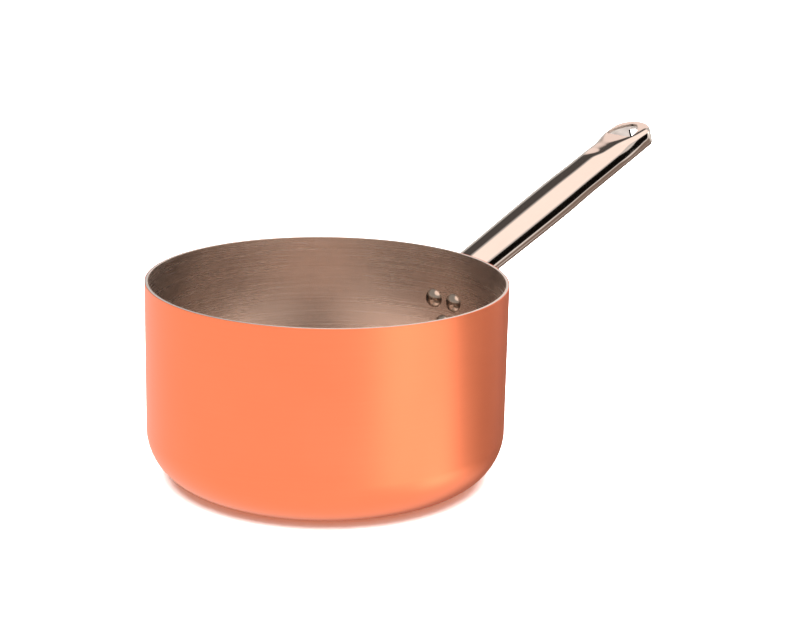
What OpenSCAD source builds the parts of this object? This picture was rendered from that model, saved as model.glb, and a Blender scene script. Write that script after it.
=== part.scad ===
// Copper saucepan: a three-layer pan body with a hollow steel handle on three rivets.
// Millimetres. +Z is up, the handle points along +X, and the origin is the centre of the underside.

/* [Pan body] */
// Inner diameter at the rim
inner_d = 200; // [170:2:260]
// Depth inside, from the floor to the rim
inner_depth = 111.5; // [90:0.5:140]
// Outside radius of the bottom corner
corner_r = 28; // [20:1:36]
// Thickness of the copper outside
copper_t = 0.5; // [0.4:0.1:1.2]
// Thickness of the aluminium in the middle
core_t = 1.1; // [0.8:0.1:2.5]
// Thickness of the stainless steel inside
lining_t = 0.4; // [0.3:0.1:0.8]

/* [Rivets] */
// Shank diameter, the same as its hole
rivet_shank_d = 5; // [4:0.5:7]
// Diameter of the domed head inside the pan
rivet_head_d = 11.4; // [9:0.2:14]
// Height of the dome above its edge
rivet_dome_h = 2.9; // [2:0.1:4]
// Height of the head's straight edge
rivet_edge_h = 0.5; // [0.3:0.1:1]
// Diameter of the formed head on the outside
rivet_tail_d = 9; // [7:0.5:12]
// Height of the formed head on the outside
rivet_tail_h = 1.8; // [1:0.1:3]
// Distance between the two upper rivets
rivet_spacing = 15.6; // [14:0.2:24]
// Rim down to the two upper rivets
rivet_drop = 31.5; // [29:0.5:40]
// Upper rivets down to the lower one
rivet_step = 14.9; // [13:0.1:22]

/* [Handle plate] */
// Sheet thickness of the riveted plate
plate_t = 2; // [1.5:0.1:3]
// Plate edge to rivet centre at the lower end
plate_end_r = 8.5; // [7:0.5:12]
// Radius of the plate's upper corners
plate_corner_r = 8; // [5:0.5:12]
// Centres of the upper corners, outside the upper rivets' centres
plate_spread = 4.2; // [2:0.2:8]
// Plate edge standing above the handle tube
plate_ledge = 2.5; // [1.5:0.5:6]

/* [Handle tube] */
// Length along the handle, from the pan wall to the tip
handle_length = 208.6; // [170:1:260]
// Angle above level
handle_rise = 21; // [10:1:30]
// Rim down to where the tube's axis meets the pan wall
handle_drop = 23.7; // [20:0.1:30]
// Sheet thickness of the tube
tube_t = 1.5; // [1:0.1:2]
// Tube diameter at the pan
root_d = 22.4; // [20:0.2:26]
// Tube diameter at its thickest
belly_d = 24.8; // [22:0.2:30]
// Tube diameter where the flattened end begins
end_d = 24; // [20:0.2:28]
// Pan wall to the thickest place
belly_at = 112; // [80:1:130]
// Gap between the upper rivets' outer heads and the scooped edge
scoop_gap = 1.9; // [0.5:0.1:4]
// Length of the scoop under the tube
scoop_l = 36; // [24:1:50]

/* [Handle end] */
// Length of the flattened end, with its run-in
flat_l = 58.6; // [50:0.2:66]
// Length over which the tube widens as its top is pressed flat
run_in_l = 40; // [30:1:44]
// Width across the flattened end
flat_w = 27.6; // [25:0.2:32]
// Flat top above the tube's axis, where the widening ends
flat_top = 7.9; // [7:0.1:9]
// Flat top above the tube's axis, at the tip
tip_top = 6; // [3:0.1:7]
// Underside of the flattened end below the tube's axis
flat_bottom = 11.5; // [9:0.1:13]

/* [Hanging eye] */
// Width of the eye
eye_w = 19.2; // [12:0.2:21]
// Length of the eye along the handle
eye_l = 18.9; // [12:0.1:22]
// Metal between the eye and the tip
eye_margin = 7.1; // [5:0.1:12]
// Radius of the eye's two long sides, which draw in towards the tip
eye_side_r = 21; // [16:0.5:40]
// Radius of the eye's rounded point
eye_point_r = 8; // [3:0.5:9]
// Radius of the eye's two corners on the pan's side
eye_corner_r = 2.5; // [1:0.5:4]
// Width of the slot underneath, open through the tip
slot_w = 16; // [10:0.5:20]
// Run of the slot past the eye, towards the pan
slot_extra = 10; // [8:1:16]

/* [Hidden] */
$fn = 96;
cut = 1;                 // how far a cutter runs past what it cuts
far = 60;                // a reach past the handle's section on every side
belly_steps = 14;        // straight steps in each half of the tube's outline

wall_t = copper_t + core_t + lining_t;
inner_r = inner_d / 2;
outer_r = inner_r + wall_t;
height = inner_depth + wall_t;
plate_r = outer_r + plate_t;
upper_rivet_z = height - rivet_drop;
lower_rivet_z = upper_rivet_z - rivet_step;
rivet_turn = asin(rivet_spacing / 2 / inner_r);
axis_z = height - handle_drop;
flat_from = handle_length - flat_l;
flat_full = flat_from + run_in_l;
eye_end = handle_length - eye_margin;
eye_from = eye_end - eye_l;

copper_color = "#d9794f";
core_color = "#c9cbcd";
lining_color = "#a69a8c";
handle_color = "#c4b7ad";

// A smooth step from 0 to 1
function ease(t) = (1 - cos(180 * min(max(t, 0), 1))) / 2;

// Tube radius at a distance from the pan wall, thickest at belly_at
function tube_r(along) = along < belly_at
    ? (root_d + (belly_d - root_d) * ease(along / belly_at)) / 2
    : (belly_d + (end_d - belly_d) * ease((along - belly_at) / (flat_from - belly_at))) / 2;

// Stations along the tube, from inside the pan wall into the flattened end
function stations() = concat(
    [-root_d / 2],
    [for (i = [0 : belly_steps - 1]) belly_at * i / belly_steps],
    [for (i = [0 : belly_steps]) belly_at + (flat_from - belly_at) * i / belly_steps],
    [flat_full]
);

// Half section of a flat-bottomed cup
module cup_section(radius, corner, tall) {
    square([radius - corner, tall]);
    translate([0, corner]) square([radius, tall - corner]);
    translate([radius - corner, corner]) circle(corner);
}

// One layer of the pan wall, lying between two depths under the outside
module layer(outside, inside) {
    rotate_extrude() {
        difference() {
            translate([0, outside]) cup_section(outer_r - outside, corner_r - outside, height - outside);
            translate([0, inside]) cup_section(outer_r - inside, corner_r - inside, height - inside + cut);
        }
    }
}

// Puts a child, drawn along +Z, at a rivet's place with +Z pointing out of the pan
module at_rivet(turn, z) {
    rotate([0, 0, turn]) translate([0, 0, z]) rotate([0, 90, 0]) children();
}

module at_every_rivet() {
    for (side = [-1, 1]) {
        at_rivet(side * rivet_turn, upper_rivet_z) children();
    }
    at_rivet(0, lower_rivet_z) children();
}

module rivet_holes() {
    at_every_rivet() translate([0, 0, inner_r - far]) cylinder(d = rivet_shank_d, h = 2 * far);
}

// A domed head that sits on the lining, a shank, and a head formed on the plate
module rivet(turn, z) {
    dome_r = (pow(rivet_head_d / 2, 2) + pow(rivet_dome_h, 2)) / (2 * rivet_dome_h);
    edge_at = inner_r - rivet_edge_h;
    color(lining_color) {
        intersection() {
            at_rivet(turn, z) {
                translate([0, 0, edge_at]) cylinder(d = rivet_head_d, h = rivet_edge_h + cut);
                intersection() {
                    translate([0, 0, edge_at - rivet_dome_h + dome_r]) sphere(dome_r);
                    translate([0, 0, edge_at - rivet_dome_h]) cylinder(d = rivet_head_d, h = rivet_dome_h);
                }
            }
            cylinder(r = inner_r, h = height);
        }
        at_rivet(turn, z) translate([0, 0, edge_at]) {
            cylinder(d = rivet_shank_d, h = plate_r - edge_at + cut);
        }
        difference() {
            at_rivet(turn, z) cylinder(d = rivet_tail_d, h = plate_r + rivet_tail_h);
            translate([0, 0, -cut]) cylinder(r = plate_r, h = height);
        }
    }
}

// The handle's own axes: local X runs out along the tube from the pan wall, local Z is its upper side
module along_handle() {
    translate([outer_r, 0, axis_z]) rotate([0, -handle_rise, 0]) children();
}

// The round part of the tube, or with a thickness taken off, the space inside it
module round_tube(inset, past) {
    at = stations();
    last = len(at) - 1;
    rotate([0, 90, 0]) {
        rotate_extrude() {
            polygon(concat(
                [[0, at[0] - past]],
                [[tube_r(at[0]) - inset, at[0] - past]],
                [for (a = at) [tube_r(a) - inset, a]],
                [[tube_r(at[last]) - inset, at[last] + past], [0, at[last] + past]]
            ));
        }
    }
}

// The flattened end before its top is pressed, or with a thickness taken off, the space inside it:
// a wider tube, which a cone from the round tube's edge trims where it begins
module wide_tube(inset, past) {
    half_w = flat_w / 2;
    centre_z = half_w - flat_bottom;
    top_half_w = sqrt(pow(half_w, 2) - pow(flat_top - centre_z, 2));
    swell = (norm([top_half_w, flat_top]) - tube_r(flat_from)) / run_in_l;
    narrow = tube_r(flat_from) - inset;
    intersection() {
        translate([flat_from - past, 0, centre_z]) rotate([0, 90, 0]) {
            cylinder(r = half_w - inset, h = flat_l + 2 * past);
        }
        translate([flat_from - past, 0, 0]) rotate([0, 90, 0]) {
            cylinder(
                r1 = narrow - swell * past,
                r2 = narrow + swell * (flat_l + past),
                h = flat_l + 2 * past
            );
        }
    }
}

// Everything above the ramp and the flat top that falls towards the tip, lowered by a thickness
module pressed_away(lowered) {
    top = tube_r(flat_from);
    fall = (flat_top - tip_top) / (handle_length - flat_full);
    translate([0, far, -lowered]) rotate([90, 0, 0]) linear_extrude(2 * far) {
        polygon([
            [flat_from, top], [flat_full, flat_top], [handle_length + far, tip_top - fall * far],
            [handle_length + far, far], [flat_from, far]
        ]);
    }
}

// The whole tube before its openings are cut, or with a thickness taken off, the space inside it
module full_tube(inset, past) {
    difference() {
        union() {
            round_tube(inset, past);
            wide_tube(inset, past);
        }
        pressed_away(inset);
    }
}

// The eye's straight end on the pan's side with its two round corners, run on towards the tip
module eye_end_outline() {
    translate([eye_from + eye_corner_r, -eye_w / 2]) square([eye_l, eye_w]);
    translate([eye_from, -eye_w / 2 + eye_corner_r]) square([eye_l, eye_w - 2 * eye_corner_r]);
    for (side = [-1, 1]) {
        translate([eye_from + eye_corner_r, side * (eye_w / 2 - eye_corner_r)]) circle(eye_corner_r);
    }
}

// The eye seen from above: straight on the pan's side, its sides drawn in to a rounded point
module eye_outline() {
    intersection() {
        eye_end_outline();
        translate([eye_from + eye_corner_r, eye_w / 2 - eye_side_r]) circle(eye_side_r);
        translate([eye_from + eye_corner_r, eye_side_r - eye_w / 2]) circle(eye_side_r);
        union() {
            translate([eye_end - eye_point_r, 0]) circle(eye_point_r);
            translate([eye_from, -eye_w / 2]) square([eye_l - eye_point_r, eye_w]);
        }
    }
}

// What lies outside the round tip seen from above, or outside the space that its wall leaves
module tip_trim(inset) {
    tip_r = flat_w / 2;
    difference() {
        translate([handle_length - tip_r, -far]) square([2 * far, 2 * far]);
        translate([handle_length - tip_r, 0]) circle(tip_r - inset);
    }
}

// The tube with its closed tip, or with a thickness taken off, the space inside it
module closed_tube(inset, past) {
    difference() {
        full_tube(inset, past);
        translate([0, 0, -far]) linear_extrude(2 * far) tip_trim(inset);
    }
}

// The slot under the eye, round on the pan's side and open through the tip
module slot_outline() {
    slot_from = eye_from - slot_extra + slot_w / 2;
    translate([slot_from, 0]) circle(d = slot_w);
    translate([slot_from, -slot_w / 2]) square([handle_length + cut - slot_from, slot_w]);
}

// What the scoop takes away: all that lies below a plane falling from just above the upper rivets
module scoop() {
    edge_z = rivet_tail_d / 2 + scoop_gap + handle_drop - rivet_drop;
    edge_along = plate_t * cos(handle_rise) + edge_z * sin(handle_rise);
    edge_up = edge_z * cos(handle_rise) - plate_t * sin(handle_rise);
    fall = atan((root_d / 2 + edge_up) / scoop_l);
    translate([edge_along, 0, edge_up]) rotate([0, fall, 0]) {
        translate([-far, -far, -far]) cube([2 * far, 2 * far, far]);
    }
}

module handle_tube() {
    color(handle_color) {
        difference() {
            along_handle() {
                difference() {
                    closed_tube(0, 0);
                    closed_tube(tube_t, cut);
                    linear_extrude(far) eye_outline();
                    translate([0, 0, -far]) linear_extrude(far) slot_outline();
                    scoop();
                }
            }
            translate([0, 0, -cut]) cylinder(r = plate_r, h = 2 * height);
        }
    }
}

// Outline of the riveted plate, seen from outside the pan in Y and Z
module plate_outline() {
    top_z = axis_z + plate_t * tan(handle_rise) + root_d / 2 / cos(handle_rise) + plate_ledge;
    hull() {
        for (side = [-1, 1]) {
            translate([side * (rivet_spacing / 2 + plate_spread), top_z - plate_corner_r]) {
                circle(plate_corner_r, $fn = 48);
            }
        }
        translate([0, lower_rivet_z]) circle(plate_end_r, $fn = 48);
    }
}

module handle_plate() {
    color(handle_color) {
        difference() {
            intersection() {
                rotate([90, 0, 90]) linear_extrude(plate_r + cut) plate_outline();
                cylinder(r = plate_r, h = height);
            }
            translate([0, 0, -cut]) cylinder(r = outer_r, h = height + 2 * cut);
            rivet_holes();
        }
    }
}

module copper_shell() {
    color(copper_color) difference() {
        layer(0, copper_t);
        rivet_holes();
    }
}

module aluminium_core() {
    color(core_color) difference() {
        layer(copper_t, copper_t + core_t);
        rivet_holes();
    }
}

module steel_lining() {
    color(lining_color) difference() {
        layer(copper_t + core_t, wall_t);
        rivet_holes();
    }
}

module rivet_upper_left() {
    rivet(rivet_turn, upper_rivet_z);
}

module rivet_upper_right() {
    rivet(-rivet_turn, upper_rivet_z);
}

module rivet_lower() {
    rivet(0, lower_rivet_z);
}

copper_shell();
aluminium_core();
steel_lining();
handle_tube();
handle_plate();
rivet_upper_left();
rivet_upper_right();
rivet_lower();
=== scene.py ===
import math

import bmesh
import bpy
from mathutils import Matrix, Vector


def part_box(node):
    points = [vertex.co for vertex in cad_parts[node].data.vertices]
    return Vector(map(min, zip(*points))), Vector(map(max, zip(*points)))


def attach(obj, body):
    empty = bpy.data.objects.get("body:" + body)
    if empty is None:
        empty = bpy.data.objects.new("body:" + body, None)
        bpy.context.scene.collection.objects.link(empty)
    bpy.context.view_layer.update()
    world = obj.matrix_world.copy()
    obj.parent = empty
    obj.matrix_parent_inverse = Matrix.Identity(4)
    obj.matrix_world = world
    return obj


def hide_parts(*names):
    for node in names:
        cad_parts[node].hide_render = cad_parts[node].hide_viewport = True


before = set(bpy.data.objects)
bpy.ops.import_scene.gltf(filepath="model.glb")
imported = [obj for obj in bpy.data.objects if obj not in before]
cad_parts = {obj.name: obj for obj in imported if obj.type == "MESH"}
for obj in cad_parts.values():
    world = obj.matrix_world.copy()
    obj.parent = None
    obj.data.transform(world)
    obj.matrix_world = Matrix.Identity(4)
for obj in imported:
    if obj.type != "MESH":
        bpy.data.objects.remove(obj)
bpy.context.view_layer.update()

mm = 0.001
fullTurn = 2 * math.pi

# where the CAD puts things: the pan's outside, its layers and the parts of the handle
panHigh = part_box("copper_shell")[1]
panRadius, panHeight = panHigh.x, panHigh.z
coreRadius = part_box("aluminium_core")[1].x
liningLow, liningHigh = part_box("steel_lining")
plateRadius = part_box("handle_plate")[1].x


# ---- small helpers

def ease(t):
    t = min(max(t, 0.0), 1.0)
    return (1 - math.cos(math.pi * t)) / 2


def mix(a, b, t):
    return a + (b - a) * t


def softMin(a, b, width):
    # the lower of two heights, with a round corner where they meet
    near = max(width - abs(a - b), 0) / width
    return min(a, b) - near * near * width / 4


def finishPiece(bm, name, material, replaced):
    # turns a bmesh into a piece that rides on the pan
    for face in bm.faces:
        face.smooth = True
    mesh = bpy.data.meshes.new(name)
    bm.to_mesh(mesh)
    bm.free()
    piece = bpy.data.objects.new(name, mesh)
    bpy.context.scene.collection.objects.link(piece)
    piece.data.materials.append(material)
    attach(piece, "root")
    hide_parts(*replaced)
    return piece


def roundEdges(piece, width, segments):
    bevel = piece.modifiers.new("round edges", "BEVEL")
    bevel.width = width
    bevel.segments = segments
    bevel.limit_method = "ANGLE"
    bevel.angle_limit = math.radians(40)
    evenNormals(piece)


def evenNormals(piece):
    # large faces set the shading, so that flat walls stay flat beside small round edges
    weighted = piece.modifiers.new("even normals", "WEIGHTED_NORMAL")
    weighted.keep_sharp = True


def bakeModifiers(piece):
    # the mesh that the modifiers give becomes the piece's own
    view = bpy.context.evaluated_depsgraph_get()
    done = bpy.data.meshes.new_from_object(piece.evaluated_get(view))
    piece.modifiers.clear()
    piece.data = done


def drillWith(piece, bm, solver="EXACT"):
    # takes a shape out of a piece and keeps the result as the piece's mesh
    mesh = bpy.data.meshes.new("drill")
    bm.to_mesh(mesh)
    bm.free()
    drill = bpy.data.objects.new("drill", mesh)
    bpy.context.scene.collection.objects.link(drill)
    cut = piece.modifiers.new("drilled", "BOOLEAN")
    cut.object = drill
    cut.solver = solver
    bakeModifiers(piece)
    bpy.data.objects.remove(drill)


# ---- materials

def newMaterial(name):
    material = bpy.data.materials.new(name)
    material.use_nodes = True
    return material, material.node_tree.nodes, material.node_tree.links


def addMath(nodes, links, operation, first, second=None):
    node = nodes.new("ShaderNodeMath")
    node.operation = operation
    for socket, value in zip(node.inputs, (first, second)):
        if value is None:
            continue
        if isinstance(value, (int, float)):
            socket.default_value = value
        else:
            links.new(value, socket)
    return node.outputs[0]


def addRange(nodes, links, value, low, high):
    node = nodes.new("ShaderNodeMapRange")
    links.new(value, node.inputs["Value"])
    node.inputs["To Min"].default_value = low
    node.inputs["To Max"].default_value = high
    return node.outputs["Result"]


def addNoise(nodes, links, vector, scale, detail=3.0, rough=0.5):
    node = nodes.new("ShaderNodeTexNoise")
    links.new(vector, node.inputs["Vector"])
    node.inputs["Scale"].default_value = scale
    node.inputs["Detail"].default_value = detail
    node.inputs["Roughness"].default_value = rough
    return node.outputs["Fac"]


def turnedCoordinates(nodes, links, fineness, round):
    # coordinates that run in rings round the pan's axis, so that lines drawn in them follow the lathe
    place = nodes.new("ShaderNodeTexCoord").outputs["Object"]
    split = nodes.new("ShaderNodeSeparateXYZ")
    links.new(place, split.inputs[0])
    x, y, z = split.outputs
    radius = addMath(nodes, links, "SQRT", addMath(
        nodes, links, "ADD", addMath(nodes, links, "MULTIPLY", x, x), addMath(nodes, links, "MULTIPLY", y, y)))
    safe = addMath(nodes, links, "MAXIMUM", radius, 0.001)
    joined = nodes.new("ShaderNodeCombineXYZ")
    across = addMath(nodes, links, "ADD", addMath(nodes, links, "MULTIPLY", radius, fineness),
                     addMath(nodes, links, "MULTIPLY", addMath(nodes, links, "DIVIDE", x, safe), round))
    upward = addMath(nodes, links, "ADD", addMath(nodes, links, "MULTIPLY", z, fineness),
                     addMath(nodes, links, "MULTIPLY", addMath(nodes, links, "DIVIDE", y, safe), round))
    links.new(across, joined.inputs[0])
    links.new(upward, joined.inputs[1])
    return place, joined.outputs[0]


def metal(name, look):
    # one metal: a base colour with slow stains, a fine grain in its roughness and a shallow bump
    material, nodes, links = newMaterial(name)
    shader = nodes["Principled BSDF"]
    shader.inputs["Metallic"].default_value = 1.0
    if look["turned"]:
        place, grainAt = turnedCoordinates(nodes, links, look["fineness"], look["round"])
    else:
        place = nodes.new("ShaderNodeTexCoord").outputs["Object"]
        mapping = nodes.new("ShaderNodeMapping")
        links.new(place, mapping.inputs["Vector"])
        mapping.inputs["Rotation"].default_value = look["turn"]
        mapping.inputs["Scale"].default_value = look["stretch"]
        grainAt = mapping.outputs["Vector"]
    grain = addNoise(nodes, links, grainAt, look["grainScale"], 5.0, 0.7)
    slow = addNoise(nodes, links, place, look["stainScale"], 3.0, 0.55)
    tint = nodes.new("ShaderNodeMix")
    tint.data_type = "RGBA"
    links.new(addMath(nodes, links, "ADD", addMath(nodes, links, "MULTIPLY", slow, look["stain"]),
                      addMath(nodes, links, "MULTIPLY", grain, 1 - look["stain"])), tint.inputs["Factor"])
    tint.inputs["A"].default_value = (*look["dark"], 1)
    tint.inputs["B"].default_value = (*look["light"], 1)
    links.new(tint.outputs["Result"], shader.inputs["Base Color"])
    both = addMath(nodes, links, "ADD", addMath(nodes, links, "MULTIPLY", grain, 0.7),
                   addMath(nodes, links, "MULTIPLY", slow, 0.3))
    links.new(addRange(nodes, links, both, *look["roughness"]), shader.inputs["Roughness"])
    bump = nodes.new("ShaderNodeBump")
    bump.inputs["Strength"].default_value = look["bump"]
    bump.inputs["Distance"].default_value = look["bumpDepth"]
    links.new(grain, bump.inputs["Height"])
    links.new(bump.outputs["Normal"], shader.inputs["Normal"])
    return material


copperLook = dict(
    turned=True, fineness=900.0, round=2.0, grainScale=1.0, stainScale=14.0, stain=0.6,
    dark=(0.93, 0.235, 0.105), light=(1.0, 0.30, 0.15), roughness=(0.30, 0.46), bump=0.05, bumpDepth=0.0001,
)
liningLook = dict(
    turned=True, fineness=800.0, round=1.2, grainScale=1.0, stainScale=22.0, stain=0.12,
    dark=(0.54, 0.435, 0.375), light=(1.0, 0.92, 0.86), roughness=(0.16, 0.36), bump=0.3, bumpDepth=0.0001,
)
coreLook = dict(
    turned=True, fineness=1800.0, round=3.0, grainScale=1.0, stainScale=40.0, stain=0.5,
    dark=(0.66, 0.63, 0.60), light=(0.82, 0.79, 0.76), roughness=(0.25, 0.4), bump=0.1, bumpDepth=0.0001,
)
handleLook = dict(
    turned=False, turn=(0, math.radians(21), 0), stretch=(30.0, 420.0, 420.0), grainScale=1.0,
    stainScale=30.0, stain=0.6,
    dark=(0.66, 0.585, 0.53), light=(0.74, 0.665, 0.61), roughness=(0.05, 0.13), bump=0.02, bumpDepth=0.00005,
)
innerLook = dict(
    turned=False, turn=(0, math.radians(21), 0), stretch=(60.0, 500.0, 500.0), grainScale=1.0,
    stainScale=40.0, stain=0.6,
    dark=(0.93, 0.89, 0.87), light=(1.0, 0.97, 0.95), roughness=(0.5, 0.65), bump=0.05, bumpDepth=0.0001,
)
rivetLook = dict(
    turned=False, turn=(0, 0, 0), stretch=(300.0, 300.0, 300.0), grainScale=1.0, stainScale=90.0, stain=0.5,
    dark=(0.30, 0.245, 0.20), light=(0.44, 0.365, 0.31), roughness=(0.08, 0.16), bump=0.04, bumpDepth=0.00005,
)
copper = metal("satinCopper", copperLook)
liningSteel = metal("brushedLining", liningLook)
coreMetal = metal("bondedCore", coreLook)
handleSteel = metal("polishedHandle", handleLook)
innerSteel = metal("unpolishedInside", innerLook)
rivetSteel = metal("rivetSteel", rivetLook)
print("materials made")


# ---- rivets: places first, because the wall is drilled for them

rivetShape = dict(
    headWidth=11.4 * mm, domeHeight=2.9 * mm, edgeHeight=0.5 * mm, shankWidth=5 * mm,
    tailWidth=9 * mm, tailHeight=1.8 * mm, spacing=15.6 * mm, drop=31.5 * mm, step=14.9 * mm,
    edgeRound=0.25 * mm, around=64, domeSteps=14,
)
liningThickness = 0.4 * mm
innerRadius = liningHigh.x - liningThickness
rivetTurn = math.asin(rivetShape["spacing"] / 2 / innerRadius)
upperZ = panHeight - rivetShape["drop"]
rivetPlaces = {
    "rivet_upper_left": (rivetTurn, upperZ),
    "rivet_upper_right": (-rivetTurn, upperZ),
    "rivet_lower": (0.0, upperZ - rivetShape["step"]),
}


# straight runs of a profile that are longer than longEdge are cut into lengths of about shortEdge
longEdge = 12 * mm
shortEdge = 6 * mm


def spinProfile(points, rounds, steps):
    # a half section in X and Z, its corners rounded, turned about Z; rounds gives each corner's radius and steps
    bm = bmesh.new()
    verts = [bm.verts.new((x, 0, z)) for x, z in points]
    for first, second in zip(verts, verts[1:]):
        bm.edges.new((first, second))
    for index, (radius, segments) in rounds.items():
        bmesh.ops.bevel(bm, geom=[verts[index]], offset=radius, offset_type="OFFSET", segments=segments,
                        profile=0.5, affect="VERTICES", material=-1)
    for edge in [e for e in bm.edges if e.calc_length() > longEdge]:
        bmesh.ops.subdivide_edges(bm, edges=[edge], cuts=int(edge.calc_length() / shortEdge))
    bmesh.ops.spin(bm, geom=bm.verts[:] + bm.edges[:], cent=(0, 0, 0), axis=(0, 0, 1), angle=fullTurn,
                   steps=steps, use_merge=True)
    bmesh.ops.remove_doubles(bm, verts=bm.verts, dist=1e-6)
    bmesh.ops.recalc_face_normals(bm, faces=bm.faces)
    return bm


def atRivet(turn, z):
    # drawn along +Z from the pan's axis, placed so that +Z points out through the wall
    return Matrix.Rotation(turn, 4, "Z") @ Matrix.Translation((0, 0, z)) @ Matrix.Rotation(math.pi / 2, 4, "Y")


def makeRivet(name, turn, z):
    shape = rivetShape
    head, shank, tail = shape["headWidth"] / 2, shape["shankWidth"] / 2, shape["tailWidth"] / 2
    inside, outside = innerRadius, plateRadius
    top = inside - shape["edgeHeight"] - shape["domeHeight"]
    domeRadius = (head ** 2 + shape["domeHeight"] ** 2) / (2 * shape["domeHeight"])
    domeCentre = top + domeRadius
    sweep = math.asin(head / domeRadius)
    count = shape["domeSteps"]
    dome = [(domeRadius * math.sin(sweep * i / count), domeCentre - domeRadius * math.cos(sweep * i / count))
            for i in range(count + 1)]
    end = outside + shape["tailHeight"]
    points = dome + [(head, inside), (shank, inside), (shank, outside), (tail, outside), (tail, end), (0, end)]
    edge = shape["edgeRound"]
    corners = {count: (edge, 3), count + 1: (edge, 3), count + 5: (3 * edge, 5)}
    bm = spinProfile(points, corners, shape["around"])
    for vert in bm.verts:
        # heads follow the round wall that they sit on
        sits = inside if vert.co.z < (inside + outside) / 2 else outside
        vert.co.z += math.sqrt(sits ** 2 - vert.co.y ** 2) - sits
    bm.transform(atRivet(turn, z))
    bmesh.ops.recalc_face_normals(bm, faces=bm.faces)
    piece = finishPiece(bm, name.replace("_", " ").title().replace(" ", "") + "Look", rivetSteel, [name])
    evenNormals(piece)


for name, (turn, z) in rivetPlaces.items():
    makeRivet(name, turn, z)
print("rivets made")


# ---- pan body: three bonded layers

panShape = dict(
    cornerRadius=28 * mm, rimRound=0.16 * mm, around=256, cornerSteps=28, drillAround=48, drillLength=40 * mm,
    sharpFrom=math.radians(50),
)


def drillForRivets(piece):
    # the same holes through every layer
    bm = bmesh.new()
    for turn, z in rivetPlaces.values():
        made = bmesh.ops.create_cone(bm, cap_ends=True, segments=panShape["drillAround"],
                                     radius1=rivetShape["shankWidth"] / 2,
                                     radius2=rivetShape["shankWidth"] / 2, depth=panShape["drillLength"])
        bmesh.ops.transform(bm, matrix=atRivet(turn, z) @ Matrix.Translation((0, 0, innerRadius)),
                            verts=made["verts"])
    drillWith(piece, bm)


def makeLayer(name, node, material, outerRadius, floorZ, thickness):
    # one cup of the wall, closed at the rim
    inset = panRadius - outerRadius
    outerCorner = panShape["cornerRadius"] - inset
    points = [(0, floorZ), (outerRadius, floorZ), (outerRadius, panHeight),
              (outerRadius - thickness, panHeight), (outerRadius - thickness, floorZ + thickness),
              (0, floorZ + thickness)]
    edge = (min(panShape["rimRound"], thickness * 0.4), 3)
    steps = panShape["cornerSteps"]
    rounds = {1: (outerCorner, steps), 2: edge, 3: edge, 4: (outerCorner - thickness, steps)}
    bm = spinProfile(points, rounds, panShape["around"])
    piece = finishPiece(bm, name, material, [node])
    drillForRivets(piece)
    for polygon in piece.data.polygons:
        polygon.use_smooth = True
    piece.data.set_sharp_from_angle(angle=panShape["sharpFrom"])
    evenNormals(piece)


copperThickness = panRadius - coreRadius
coreThickness = coreRadius - liningHigh.x
makeLayer("copperOutside", "copper_shell", copper, panRadius, 0.0, copperThickness)
makeLayer("bondedMiddle", "aluminium_core", coreMetal, coreRadius, copperThickness, coreThickness)
makeLayer("steelInside", "steel_lining", liningSteel, liningHigh.x, liningLow.z, liningThickness)
print("pan body made")


# ---- handle tube

handleShape = dict(
    rise=math.radians(21), drop=23.7 * mm, length=208.6 * mm, sheet=1.5 * mm,
    rootWidth=22.4 * mm, bellyWidth=24.8 * mm, endWidth=24 * mm, bellyAt=112 * mm,
    flatLength=68.6 * mm, pressing=20 * mm, widenFrom=166 * mm, widening=24 * mm, flatWidth=27.6 * mm,
    flatTop=10.98 * mm, tipTop=6 * mm, flatBottom=11.5 * mm,
    topSoft=3 * mm, tipSoft=3.5 * mm, tipSideSoft=1.6 * mm, eyeWidth=19.2 * mm, eyeLength=18.9 * mm,
    eyeMargin=7.1 * mm, eyeSide=21 * mm, eyePoint=8 * mm, eyeCorner=2.5 * mm,
    slotWidth=16 * mm, slotExtra=10 * mm, scoopGap=1.9 * mm, scoopLength=36 * mm,
    slotAround=64, slotDepth=30 * mm, slotPast=10 * mm,
    edgeRound=0.35 * mm, intoPlate=0.8 * mm, columns=120, ringStep=1.7 * mm, fineStep=0.9 * mm, tipRings=26,
    tipSweep=math.radians(88), tipMiddle=-2.5 * mm, rootReach=70 * mm, searchReach=20 * mm,
    eyeRays=360, eyePoints=96, eyeMiddle=0.45, eyeBorder=1.1 * mm,
)
flatFrom = handleShape["length"] - handleShape["flatLength"]
flatFull = flatFrom + handleShape["pressing"]
wideRadius = handleShape["flatWidth"] / 2
wideCentre = wideRadius - handleShape["flatBottom"]
tipCentre = handleShape["length"] - wideRadius
eyeEnd = handleShape["length"] - handleShape["eyeMargin"]
eyeStart = eyeEnd - handleShape["eyeLength"]
handleFrame = (Matrix.Translation((panRadius, 0, panHeight - handleShape["drop"]))
               @ Matrix.Rotation(-handleShape["rise"], 4, "Y"))


def tubeRadius(along):
    root, belly, end = (handleShape[k] / 2 for k in ("rootWidth", "bellyWidth", "endWidth"))
    if along < handleShape["bellyAt"]:
        return mix(root, belly, ease(along / handleShape["bellyAt"]))
    return mix(belly, end, ease((along - handleShape["bellyAt"]) / (flatFrom - handleShape["bellyAt"])))


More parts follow.
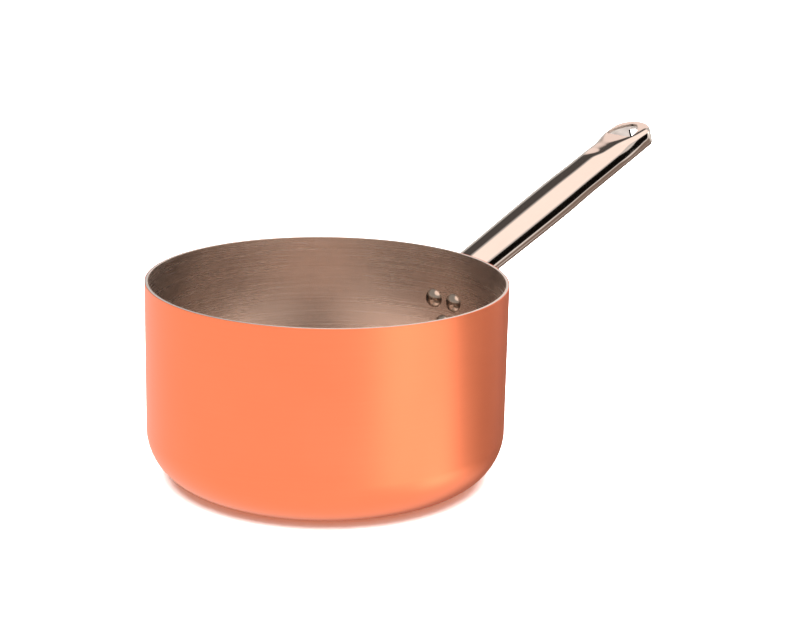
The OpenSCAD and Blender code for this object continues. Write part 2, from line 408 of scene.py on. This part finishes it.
def depthInside(along, across, up):
    # how far a point lies under the tube's skin: round at first, then pressed flat on top and rounded at the tip
    shape = handleShape
    round = tubeRadius(min(along, flatFrom))
    flat = mix(shape["flatTop"], shape["tipTop"], (along - flatFull) / (shape["length"] - flatFull))
    ceiling = mix(round + shape["topSoft"], flat, ease((along - flatFrom) / shape["pressing"]))
    widened = ease((along - shape["widenFrom"]) / shape["widening"])
    radius, centre = mix(round, wideRadius, widened), widened * wideCentre
    side = radius - math.hypot(across, up - centre)
    top, soft = ceiling - up, shape["topSoft"]
    if along > tipCentre:
        nearTip = ease((along - tipCentre) / (wideRadius * 0.6))
        wall = wideRadius - math.hypot(along - tipCentre, across)
        side = softMin(side, wall, max(shape["tipSideSoft"] * nearTip, 0.01 * mm))
        soft = mix(soft, shape["tipSoft"], nearTip)
    return softMin(side, top, soft)


def lastInside(reach, isInside):
    # how far out a line stays inside, found by halving
    near = 0.0
    for _ in range(40):
        middle = (near + reach) / 2
        if isInside(middle):
            near = middle
        else:
            reach = middle
    return near


def skinPoint(along, turn):
    # the point of the skin that a ray from the middle of the section reaches
    shape = handleShape
    low = mix(0, shape["tipMiddle"], ease((along - flatFrom) / (shape["length"] - flatFrom)))
    out, up = math.cos(turn), math.sin(turn)
    far = lastInside(shape["searchReach"], lambda r: depthInside(along, r * out, low + r * up) > 0)
    return Vector((along, far * out, low + far * up))


def skinHeight(along, across):
    # the height of the skin over a place seen from above
    return lastInside(handleShape["searchReach"], lambda up: depthInside(along, across, up) > 0)


def rootEdge(turn):
    # where the tube starts at this turn: in the plate, or lower down on the scoop that clears the rivets
    rise, shape = handleShape["rise"], handleShape
    edgeZ = rivetShape["tailWidth"] / 2 + shape["scoopGap"] + shape["drop"] - rivetShape["drop"]
    plateDepth = plateRadius - panRadius
    edgeAlong = plateDepth * math.cos(rise) + edgeZ * math.sin(rise)
    edgeUp = edgeZ * math.cos(rise) - plateDepth * math.sin(rise)
    fall = (shape["rootWidth"] / 2 + edgeUp) / shape["scoopLength"]
    point = skinPoint(0, turn)
    onPlate = (math.sqrt(plateRadius ** 2 - point.y ** 2) - panRadius + point.z * math.sin(rise)) / math.cos(rise)
    onScoop = edgeAlong + (edgeUp - point.z) / fall
    return max(onPlate - shape["intoPlate"], onScoop)


def evenlyAlong(outline, count):
    # the same number of evenly spaced points on any closed outline
    loop = outline + [outline[0]]
    lengths = [0.0]
    for a, b in zip(loop, loop[1:]):
        lengths.append(lengths[-1] + (b - a).length)
    ring, at = [], 0
    for i in range(count):
        want = lengths[-1] * i / count
        while lengths[at + 1] < want:
            at += 1
        share = (want - lengths[at]) / (lengths[at + 1] - lengths[at])
        ring.append(loop[at].lerp(loop[at + 1], share))
    return ring


def rayOutline(centre, isInside):
    # the edge of a flat shape, found by rays from a point inside it
    outline = []
    rays = handleShape["eyeRays"]
    for i in range(rays):
        direction = Vector((math.cos(fullTurn * i / rays), math.sin(fullTurn * i / rays)))
        far = lastInside(2 * handleShape["searchReach"], lambda r: isInside(centre + direction * r))
        outline.append(centre + direction * far)
    return outline


def insideEye(point):
    # straight on the pan's side with two round corners, its sides drawn in to a rounded point
    shape = handleShape
    half, corner = shape["eyeWidth"] / 2, shape["eyeCorner"]
    x, y = point.x - eyeStart, abs(point.y)
    if x < 0 or y > half:
        return False
    if x < corner and y > half - corner and math.hypot(x - corner, y - half + corner) > corner:
        return False
    if math.hypot(x - corner, y + shape["eyeSide"] - half) > shape["eyeSide"]:
        return False
    pointAt = shape["eyeLength"] - shape["eyePoint"]
    return x < pointAt or math.hypot(x - pointAt, y) < shape["eyePoint"]


def openEye(bm):
    # clears the sheet in and close around the eye, then fills up to the eye's own outline
    centre = Vector((mix(eyeStart, eyeEnd, handleShape["eyeMiddle"]), 0))
    rim = evenlyAlong(rayOutline(centre, insideEye), handleShape["eyePoints"])
    gone = []
    for face in bm.faces:
        middle = face.calc_center_median()
        if middle.z <= 0:
            continue
        flat = Vector((middle.x, middle.y))
        if insideEye(flat) or min((flat - p).length for p in rim) < handleShape["eyeBorder"]:
            gone.append(face)
    border = [e for f in gone for e in f.edges if sum(n in gone for n in e.link_faces) == 1]
    bmesh.ops.delete(bm, geom=gone, context="FACES")
    verts = [bm.verts.new((p.x, p.y, skinHeight(p.x, p.y))) for p in rim]
    edges = [bm.edges.new((a, b)) for a, b in zip(verts, verts[1:] + verts[:1])]
    bmesh.ops.triangle_fill(bm, use_beauty=True, use_dissolve=False, edges=border + edges, normal=(0, 0, 1))


def cutSlot(tube):
    # the slot under the eye, round on the pan's side and open through the tip
    half = handleShape["slotWidth"] / 2
    first = eyeStart - handleShape["slotExtra"] + half
    reach = handleShape["length"] + handleShape["slotPast"] - first
    bm = bmesh.new()
    deep = handleShape["slotDepth"]
    bmesh.ops.create_cone(bm, cap_ends=True, segments=handleShape["slotAround"], radius1=half, radius2=half,
                          depth=deep)
    for vert in bm.verts:
        vert.co.z -= deep / 2
        vert.co.x += first + (reach if vert.co.x > half / 100 else 0)
    bm.transform(handleFrame)
    drillWith(tube, bm, "MANIFOLD")


def makeHandleTube():
    shape = handleShape
    columns = shape["columns"]
    turns = [fullTurn * (i + 0.5) / columns - math.pi / 2 for i in range(columns)]
    coarse = round(flatFrom / shape["ringStep"])
    rows = [flatFrom * i / coarse for i in range(coarse)]
    fine = round((tipCentre - flatFrom) / shape["fineStep"])
    rows += [mix(flatFrom, tipCentre, i / fine) for i in range(fine)]
    rows += [tipCentre + wideRadius * math.sin(shape["tipSweep"] * i / shape["tipRings"])
             for i in range(shape["tipRings"] + 1)]
    bm = bmesh.new()
    ring = bmesh.ops.create_circle(bm, segments=columns, radius=1.0)["verts"]
    grid, edges = [ring], list(bm.edges)
    for _ in rows:
        made = bmesh.ops.extrude_edge_only(bm, edges=edges)["geom"]
        fresh = {g for g in made if isinstance(g, bmesh.types.BMVert)}
        edges = [g for g in made if isinstance(g, bmesh.types.BMEdge) and set(g.verts) <= fresh]
        grid.append([next(e.other_vert(v) for e in v.link_edges if e.other_vert(v) in fresh) for v in grid[-1]])
    reach = shape["rootReach"]
    starts = [rootEdge(turn) for turn in turns]
    for along, verts in zip(rows, grid):
        for turn, start, vert in zip(turns, starts, verts):
            moved = start + along * (reach - start) / reach if along < reach else along
            vert.co = skinPoint(moved, turn)
    for turn, last, vert in zip(turns, grid[-2], grid[-1]):
        vert.co = (shape["length"], 0, last.co.z)
    bmesh.ops.remove_doubles(bm, verts=grid[-1], dist=1e-6)
    openEye(bm)
    bmesh.ops.delete(bm, geom=[v for v in bm.verts if not v.link_faces], context="VERTS")
    bmesh.ops.recalc_face_normals(bm, faces=bm.faces)
    if max(bm.faces, key=lambda face: face.calc_center_median().z).normal.z < 0:
        bmesh.ops.reverse_faces(bm, faces=bm.faces)
    bm.transform(handleFrame)
    tube = finishPiece(bm, "handleTubeLook", handleSteel, ["handle_tube"])
    wall = tube.modifiers.new("sheet", "SOLIDIFY")
    wall.thickness = shape["sheet"]
    wall.offset = -1
    wall.use_even_offset = True
    wall.material_offset = 1
    tube.data.materials.append(innerSteel)
    cutSlot(tube)
    for polygon in tube.data.polygons:
        polygon.use_smooth = True
    roundEdges(tube, shape["edgeRound"], 3)


makeHandleTube()
print("handle tube made")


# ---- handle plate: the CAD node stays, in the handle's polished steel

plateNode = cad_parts["handle_plate"]
plateNode.data.materials.clear()
plateNode.data.materials.append(handleSteel)


# ---- floor, light and camera

def makeFloor():
    bm = bmesh.new()
    bmesh.ops.create_circle(bm, cap_ends=True, segments=128, radius=12.0)
    mesh = bpy.data.meshes.new("floor")
    bm.to_mesh(mesh)
    bm.free()
    floor = bpy.data.objects.new("floor", mesh)
    bpy.context.scene.collection.objects.link(floor)
    material, nodes, links = newMaterial("paleFloor")
    shader = nodes["Principled BSDF"]
    shader.inputs["Base Color"].default_value = (0.9, 0.9, 0.9, 1)
    shader.inputs["Roughness"].default_value = 0.9
    shader.inputs["Specular IOR Level"].default_value = 0.0
    floor.data.materials.append(material)
    floor.visible_glossy = False


makeFloor()


def makeTopLight():
    # a broad lamp overhead for the floor alone; the metals see only the soft boxes of the world
    data = bpy.data.lights.new("overhead", "AREA")
    data.shape = "DISK"
    data.size = 5.0
    data.energy = 700.0
    lamp = bpy.data.objects.new("overhead", data)
    bpy.context.scene.collection.objects.link(lamp)
    lamp.location = (0, 0, 3.0)
    lamp.visible_glossy = False


makeTopLight()

sceneNow = bpy.context.scene

# soft boxes of light and dark cards round the pan, each a direction (right, back, up as the camera sees them),
# a half angle, the width of its soft edge and its brightness
lightLevel = dict(
    above=(0.62, 0.60, 0.58), below=(1.12, 1.05, 1.0),
)
lightPatches = [
    dict(at=(0.62, -0.14, 0.77), half=36, soft=3, color=(1.5, 1.28, 1.18)),
    dict(at=(0.93, 0.36, 0.10), half=10, soft=3, color=(2.8, 2.6, 2.4)),
    dict(at=(0.24, 0.86, -0.44), half=27, soft=3, color=(0.26, 0.19, 0.155)),
    dict(at=(0.80, 0.50, -0.36), half=12, soft=3, color=(0.30, 0.22, 0.18)),
    dict(at=(0.958, 0.06, -0.08), half=16, soft=2, color=(0.004, 0.003, 0.002)),
    dict(at=(0.88, -0.12, -0.46), half=12, soft=4, color=(2.5, 2.35, 2.2)),
    dict(at=(-0.15, 0.62, 0.77), half=24, soft=4, color=(0.10, 0.09, 0.085)),
    dict(at=(0.22, 0.87, 0.44), half=19, soft=2, color=(1.2, 1.0, 0.92)),
    dict(at=(0.72, -0.64, -0.15), half=13, soft=9, color=(2.1, 1.95, 1.8)),
    dict(at=(0.0, -0.5, 0.87), half=28, soft=8, color=(2.4, 2.05, 1.9)),
]


def makeWorld():
    world = bpy.data.worlds.new("studio")
    sceneNow.world = world
    world.use_nodes = True
    nodes, links = world.node_tree.nodes, world.node_tree.links
    turn = math.radians(cameraSet["azimuth"])
    right = Vector((math.cos(turn), math.sin(turn), 0))
    back = Vector((-math.sin(turn), math.cos(turn), 0))
    up = Vector((0, 0, 1))
    way = nodes.new("ShaderNodeTexCoord").outputs["Generated"]
    shade = None
    for patch in lightPatches:
        x, y, z = Vector(patch["at"]).normalized()
        direction = right * x + back * y + up * z
        facing = nodes.new("ShaderNodeVectorMath")
        facing.operation = "DOT_PRODUCT"
        links.new(way, facing.inputs[0])
        facing.inputs[1].default_value = direction
        edge = nodes.new("ShaderNodeMapRange")
        edge.interpolation_type = "SMOOTHSTEP"
        links.new(facing.outputs["Value"], edge.inputs["Value"])
        edge.inputs["From Min"].default_value = math.cos(math.radians(patch["half"] + patch["soft"]))
        edge.inputs["From Max"].default_value = math.cos(math.radians(patch["half"] - patch["soft"]))
        blend = nodes.new("ShaderNodeMix")
        blend.data_type = "RGBA"
        links.new(edge.outputs["Result"], blend.inputs["Factor"])
        blend.inputs["B"].default_value = (*patch["color"], 1)
        if shade is None:
            split = nodes.new("ShaderNodeSeparateXYZ")
            links.new(way, split.inputs[0])
            height = nodes.new("ShaderNodeMapRange")
            height.interpolation_type = "SMOOTHSTEP"
            links.new(split.outputs["Z"], height.inputs["Value"])
            height.inputs["From Min"].default_value = -0.3
            height.inputs["From Max"].default_value = 0.5
            base = nodes.new("ShaderNodeMix")
            base.data_type = "RGBA"
            links.new(height.outputs["Result"], base.inputs["Factor"])
            base.inputs["A"].default_value = (*lightLevel["below"], 1)
            base.inputs["B"].default_value = (*lightLevel["above"], 1)
            links.new(base.outputs["Result"], blend.inputs["A"])
        else:
            links.new(shade, blend.inputs["A"])
        shade = blend.outputs["Result"]
    links.new(shade, nodes["Background"].inputs["Color"])


cameraSet = dict(
    azimuth=-47.7, elevation=15.53, roll=-1.3, distance=1.0402, lens=83.5, aim=(0.0242, -0.0333, 0.0979),
)


def makeCamera():
    data = bpy.data.cameras.new("camera")
    data.lens = cameraSet["lens"]
    data.sensor_width = 36.0
    data.clip_start = 0.05
    camera = bpy.data.objects.new("camera", data)
    sceneNow.collection.objects.link(camera)
    a, e = math.radians(cameraSet["azimuth"]), math.radians(cameraSet["elevation"])
    back = Vector((math.sin(a) * math.cos(e), -math.cos(a) * math.cos(e), math.sin(e)))
    camera.location = Vector(cameraSet["aim"]) + back * cameraSet["distance"]
    camera.rotation_mode = "QUATERNION"
    level = (-back).to_track_quat("-Z", "Y")
    camera.rotation_quaternion = level @ Matrix.Rotation(-math.radians(cameraSet["roll"]), 3, "Z").to_quaternion()
    sceneNow.camera = camera


makeCamera()
makeWorld()
sceneNow.view_settings.view_transform = "Standard"
print("stage made")
